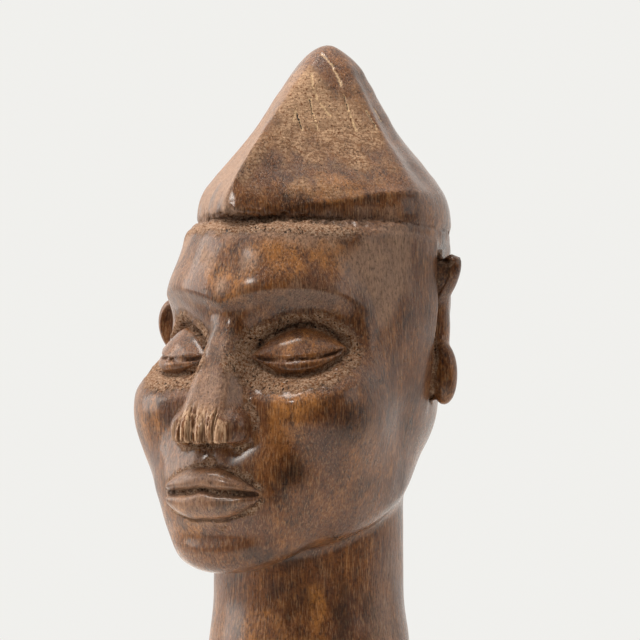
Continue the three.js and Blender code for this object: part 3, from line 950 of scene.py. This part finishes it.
def facet_layers(board, place, matte, colours):
    """Dry tan wood in strokes on the cap's dull facets, thinner towards the rim."""
    strokes = board.noise(place, (6, 6, 0.6), 3, 0.65)
    flecks = board.noise(place, (0.9, 0.9, 0.8), 3, 0.7)
    dry = board.ramp(board.weighed(((strokes, 0.32), (flecks, 0.68))), 0.43, 0.57)
    height = board.node("ShaderNodeSeparateXYZ", {"Vector": place}).outputs["Z"]
    least = board.ramp(height, RIM_Z + 18, RIM_Z + 28, 0.1, 0.5)
    specks = board.ramp(board.noise(place, (0.8, 0.8, 1), 2, 0.7), 0.44, 0.36)
    return (
        (board.times(matte, 0.65), colours.matte_wood),
        (board.times(board.largest(dry, least), matte), colours.dry_wood),
        (board.times(specks, matte), colours.brown_wood),
    )


def nose_layers(board, place, bare, colours):
    """Threads of dry wood on the nose's worn front."""
    threads = board.ramp(board.noise(place, (0.55, 0.55, 12), 3, 0.6), 0.4, 0.58)
    return (
        (board.times(bare, 0.9), colours.brown_wood),
        (board.times(threads, bare), colours.dry_wood),
    )


def dirt_and_shade_layers(board, place, grain, crumbs, mottle, hollow, colours):
    """Stains, painted shade in hollows and creases, dust, and the near black of pores and pits."""
    stain = board.times(board.attribute("stain"), board.ramp(mottle, 0.25, 0.6))
    crumb_tone = board.ramp(board.noise(place, 0.6, 3, 0.75), 0.36, 0.62)
    dust = board.mix_colour(crumb_tone, colours.brown_wood, colours.dust)
    dark_spots = board.largest(board.times(grain["Pores"], 0.55), crumbs["Pits"])
    return (
        (board.times(stain, 0.85), colours.stain),
        # Painted shade: the hollow share darkens creases, hollows and the rim's groove with the near black
        # colour
        (board.times(hollow, 0.6), colours.stain),
        (board.times(crumbs["Mask"], 0.85), dust),
        (dark_spots, colours.stain),
    )


def cut_layers(board, place, colours):
    """The pale broken lips of the slanting cuts on the cap, and painted shade in the cores of the deepest
    ones.
    """
    wobble = board.times(board.minus(board.noise(place, 0.8, 2), 0.5), 1.2)
    aside = board.maths("ABSOLUTE", board.plus(board.attribute("scratch_offset"), wobble))
    depth = board.attribute("scratch_depth")
    lips = board.times(board.ramp(aside, 0.5, 0.15), board.ramp(depth, 0.1, 0.7))
    broken = board.ramp(board.noise(place, (2, 2, 1.4), 2, 0.6), 0.34, 0.5, 0.35, 1)
    # Painted shade: near black in the cores of the deepest cuts
    core = board.times(board.ramp(aside, 0.26, 0.1), board.ramp(depth, 0.7, 0.9))
    return ((board.times(lips, broken), colours.pale_fibre), (core, colours.stain))


def carved_wood(colours, groups):
    """Hand-polished dark hardwood with worn, stained and dusty places, painted shade in its hollows and
    painted sheen on some of its sides.
    """
    material, board, shader = new_material("dark_carved_wood")
    place = board.millimetres()
    grain = board.group(groups["grain"], {"Position": place})
    crumbs = board.group(groups["crumbs"], {"Position": place, "Amount": board.attribute("dust")})
    hollow, matte = board.attribute("hollow"), board.attribute("matte")
    bare, film_and_sheen_share = board.attribute("bare"), board.attribute("film_and_sheen_share")
    mottle = board.noise(place, (4.5, 4.5, 7), 4, 0.65)
    # Share of the film and painted sheen, weaker on the dark bands of the grain
    film_and_painted_sheen = board.times(film_and_sheen_share, board.ramp(grain["Tone"], 0.44, 0.64, 0.6, 1))
    layers = (
        *polished_layers(board, place, grain, mottle, film_and_painted_sheen, colours),
        *facet_layers(board, place, matte, colours),
        *nose_layers(board, place, bare, colours),
        *dirt_and_shade_layers(board, place, grain, crumbs, mottle, hollow, colours),
        *cut_layers(board, place, colours),
    )
    dust = crumbs["Mask"]
    rough = board.ramp(board.noise(place, (6, 6, 12)), 0.3, 0.7, *POLISH["roughness"])
    for share, roughness in ((matte, 0.62), (bare, 0.8), (film_and_sheen_share, 0.5), (dust, 0.85), (hollow, 0.7)):
        rough = board.mix(share, rough, roughness)
    dull = board.largest(dust, matte, hollow, board.times(film_and_painted_sheen, 0.5))
    tool_marks = board.times(board.noise(place, (7, 7, 0.8), 3, 0.6), matte)
    relief = board.plus(board.plus(grain["Height"], crumbs["Height"]), board.times(tool_marks, 0.3))
    finish = {
        "Base Color": board.layered(colours.dark_wood, layers),
        "Roughness": rough,
        "Coat Weight": board.ramp(dull, 0.05, 0.5, POLISH["coat"], 0.0),
        "Coat Roughness": POLISH["coat_roughness"],
        "Specular IOR Level": POLISH["specular"],
        "Normal": board.bumps(relief),
    }
    board.feed(shader, finish)
    return material


def sawn_wood(colours, groups):
    """The saw cut under the neck: end grain with faint rings and the saw's lines."""
    material, board, shader = new_material("sawn_end_grain")
    place = board.millimetres()
    fibres = board.group(groups["grain"], {"Position": place})["Fibres"]
    off_centre = board.node("ShaderNodeMapping", {"Vector": place, "Location": PITH}).outputs["Vector"]
    waves = {"Vector": off_centre, "Scale": 0.16, "Distortion": 3.0, "Detail": 2.0}
    rings = board.node("ShaderNodeTexWave", waves, wave_type="RINGS", rings_direction="Z").outputs["Fac"]
    saw = board.noise(place, (0.7, 40, 40), 2)
    tone = board.ramp(board.weighed(((rings, 0.5), (saw, 0.5))), 0.2, 0.8)
    layers = ((tone, colours.brown_wood), (board.times(fibres, 0.4), colours.dry_wood))
    finish = {
        "Base Color": board.layered(colours.dark_wood, layers),
        "Roughness": board.ramp(saw, 0.2, 0.8, 0.6, 0.8),
        "Normal": board.bumps(board.times(saw, 0.2)),
    }
    board.feed(shader, finish)
    return material


def colour_setting(name, description, default):
    return FloatVectorProperty(
        name=name, description=description, default=default, size=3, min=0, max=1, subtype="COLOR"
    )


class CarvingSizes(bpy.types.PropertyGroup):
    """Sizes of the net of faces."""

    net_step: FloatProperty(
        name="Net step",
        description="Length of the faces on plain stretches of the head",
        default=1.25 * MM,
        min=1.1 * MM,
        unit="LENGTH",
    )


class CarvingColours(bpy.types.PropertyGroup):
    """Colours of the wood and of what lies on it."""

    dark_wood: colour_setting("Dark wood", "Polished heartwood", (0.026, 0.0085, 0.0026))
    brown_wood: colour_setting("Brown wood", "Middle tone of the grain", (0.12, 0.041, 0.0105))
    plum_wood: colour_setting("Plum wood", "Reddish grey bands of the heartwood", (0.075, 0.031, 0.02))
    light_wood: colour_setting("Light wood", "Lightest bands of the grain", (0.27, 0.108, 0.03))
    worn_wood: colour_setting("Worn wood", "Golden brown where hands have rubbed", (0.33, 0.132, 0.031))
    matte_wood: colour_setting("Matte wood", "Ground of the dull facets", (0.15, 0.082, 0.042))
    dry_wood: colour_setting("Dry wood", "Dull tan of the cap's facets", (0.4, 0.25, 0.148))
    pale_fibre: colour_setting("Pale fibre", "Light fibres and the lips of cuts", (0.52, 0.35, 0.2))
    # The film colour also paints the grey sheen that the cap's right front facet and the left temple catch at
    # a grazing angle
    film_and_painted_sheen: colour_setting("Film", "Dry pinkish grey film on the polish", (0.27, 0.17, 0.118))
    dust: colour_setting("Dust", "Beige grey dust in the hollows", (0.36, 0.245, 0.165))
    # The stain colour also paints the shade in hollows and in the cores of the deepest cuts
    stain: colour_setting("Stain", "Near black stains, pores and pits", (0.011, 0.0055, 0.0035))


class StudioSettings(bpy.types.PropertyGroup):
    """The camera, the backdrop and the light."""

    azimuth: FloatProperty(
        name="Azimuth",
        description="Angle of the camera round the head, from the way the face looks towards the left ear",
        default=math.radians(33),
        subtype="ANGLE",
    )
    distance: FloatProperty(
        name="Distance",
        description="Distance from the camera to the middle of the neck",
        default=1.5,
        unit="LENGTH",
    )
    view_width: FloatProperty(
        name="View width",
        description="Width that the picture shows at the head",
        default=0.1792,
        unit="LENGTH",
    )
    backdrop: colour_setting("Backdrop", "The pale seamless backdrop", (0.875, 0.87, 0.845))
    light: colour_setting("Light", "Slightly warm light of the surroundings and soft boxes", (1, 0.955, 0.9))


class CARVING_OT_head(bpy.types.Operator):
    """Carve the head, cap, ears and neck, and finish the wood"""

    bl_idname = "carving.head"
    bl_label = "Carve the head"

    def execute(self, context):
        sizes = context.scene.carving_sizes
        colours = context.scene.carving_colours
        piece = rough_out(sizes.net_step / MM)
        mesh = piece.data
        fit(mesh, rounds=3)
        refine(piece, turns_sharply(read_points(mesh)))
        fit(mesh, rounds=2)
        refine(piece, fine_work(read_points(mesh)))
        fit(mesh, rounds=2, onto_ridge=RIDGE_REACH)
        points = read_points(mesh)
        store(mesh, finish_masks(points))
        write_points(mesh, points + outward(points) * knife_marks(points)[:, None])
        only(piece)
        bpy.ops.object.shade_smooth_by_angle(angle=SMOOTH_ANGLE)
        groups = {"grain": grain_group(), "crumbs": crumb_group()}
        mesh.materials.append(carved_wood(colours, groups))
        mesh.materials.append(sawn_wood(colours, groups))
        under = [int(face.normal.z < -0.9 and face.center.z < 0.5 * MM) for face in mesh.polygons]
        mesh.polygons.foreach_set("material_index", under)
        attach(piece, "root")
        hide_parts(NODE)
        return {"FINISHED"}


def studio_world(studio):
    """A pale backdrop for the camera, and soft light from behind the head and from above."""
    world = bpy.data.worlds.new("soft_studio")
    world.use_nodes = True
    board = Board(world.node_tree)
    backdrop = world.node_tree.nodes["Background"]
    board.feed(backdrop, {"Color": opaque(studio.backdrop)})
    way = board.node("ShaderNodeTexCoord").outputs["Generated"]
    camera_way = (math.sin(studio.azimuth), -math.cos(studio.azimuth), 0)
    inputs = {0: way, 1: camera_way}
    facing = board.node("ShaderNodeVectorMath", inputs, operation="DOT_PRODUCT").outputs["Value"]
    upward = board.node("ShaderNodeSeparateXYZ", {"Vector": way}).outputs["Z"]
    level = board.ramp(facing, -0.25, 0.5, BACK_LIGHT, FRONT_LIGHT)
    level = board.plus(level, board.ramp(upward, 0.1, 0.95, 0, TOP_LIGHT))
    light = board.node("ShaderNodeBackground", {"Color": opaque(studio.light), "Strength": level})
    seen = board.node("ShaderNodeLightPath").outputs["Is Camera Ray"]
    both = board.node("ShaderNodeMixShader", {0: seen, 1: light.outputs[0], 2: backdrop.outputs[0]})
    board.feed(world.node_tree.nodes["World Output"], {"Surface": both.outputs[0]})
    return world


def pale_floor(studio):
    """A round floor that fades into the backdrop."""
    bpy.ops.mesh.primitive_circle_add(vertices=96, radius=FLOOR_RADIUS, fill_type="NGON")
    floor = bpy.context.active_object
    floor.name = "pale_floor"
    material, board, shader = new_material("pale_floor")
    place = board.node("ShaderNodeTexCoord").outputs["Object"]
    away = board.node("ShaderNodeVectorMath", {0: place}, operation="LENGTH").outputs["Value"]
    fade = board.ramp(away, 0.25 * FLOOR_RADIUS, 0.95 * FLOOR_RADIUS, 1, 0)
    board.feed(shader, {"Base Color": opaque(studio.backdrop), "Roughness": 0.9, "Alpha": fade})
    floor.data.materials.append(material)


def soft_light(name, towards, right, place, size, watts):
    """A square soft box, placed as (camera's right, up, towards the camera) from the middle of the head."""
    across, up, near = place
    middle = Vector((0, 0, HEAD_MIDDLE * MM))
    spot = middle + right * across + towards * near + Vector((0, 0, up))
    bpy.ops.object.light_add(type="AREA", location=spot)
    light = bpy.context.active_object
    light.name = name
    light.rotation_euler = (middle - spot).to_track_quat("-Z", "Y").to_euler()
    light.data.size = size
    light.data.energy = watts
    light.data.color = bpy.context.scene.carving_studio.light
    light.visible_camera = False


class CARVING_OT_studio(bpy.types.Operator):
    """Set the pale floor, the soft lights and the camera"""

    bl_idname = "carving.studio"
    bl_label = "Set the studio"

    def execute(self, context):
        studio = context.scene.carving_studio
        context.scene.world = studio_world(studio)
        context.scene.view_settings.view_transform = "Standard"
        pale_floor(studio)
        towards = Vector((math.sin(studio.azimuth), -math.cos(studio.azimuth), 0))
        right = Vector((math.cos(studio.azimuth), math.sin(studio.azimuth), 0))
        for name, place, size, watts in SOFT_BOXES:
            soft_light(name, towards, right, place, size, watts)
        target = right * PICTURE_RIGHT * MM + Vector((0, 0, PICTURE_UP * MM))
        bpy.ops.object.camera_add(location=target + towards * studio.distance)
        camera = context.active_object
        camera.rotation_euler = (-towards).to_track_quat("-Z", "Y").to_euler()
        camera.data.lens = camera.data.sensor_width * studio.distance / studio.view_width
        context.scene.camera = camera
        return {"FINISHED"}


class CARVING_PT_panel(bpy.types.Panel):
    """The carving's steps and sizes"""

    bl_idname = "CARVING_PT_panel"
    bl_label = "Carved head"
    bl_space_type = "VIEW_3D"
    bl_region_type = "UI"
    bl_category = "Carving"

    def draw(self, context):
        layout = self.layout
        for operator in OPERATORS:
            layout.operator(operator.bl_idname)
        for name, group in SETTINGS.items():
            settings = getattr(context.scene, name)
            for key in group.__annotations__:
                layout.prop(settings, key)


OPERATORS = (CARVING_OT_head, CARVING_OT_studio)
SETTINGS = {
    "carving_sizes": CarvingSizes,
    "carving_colours": CarvingColours,
    "carving_studio": StudioSettings,
}
CLASSES = (*SETTINGS.values(), *OPERATORS, CARVING_PT_panel)


def register():
    for cls in CLASSES:
        bpy.utils.register_class(cls)
    for name, group in SETTINGS.items():
        setattr(bpy.types.Scene, name, PointerProperty(type=group))


def unregister():
    for name in SETTINGS:
        delattr(bpy.types.Scene, name)
    for cls in reversed(CLASSES):
        bpy.utils.unregister_class(cls)


def main():
    register()
    bpy.ops.carving.head()
    bpy.ops.carving.studio()


if __name__ == "__main__":
    main()
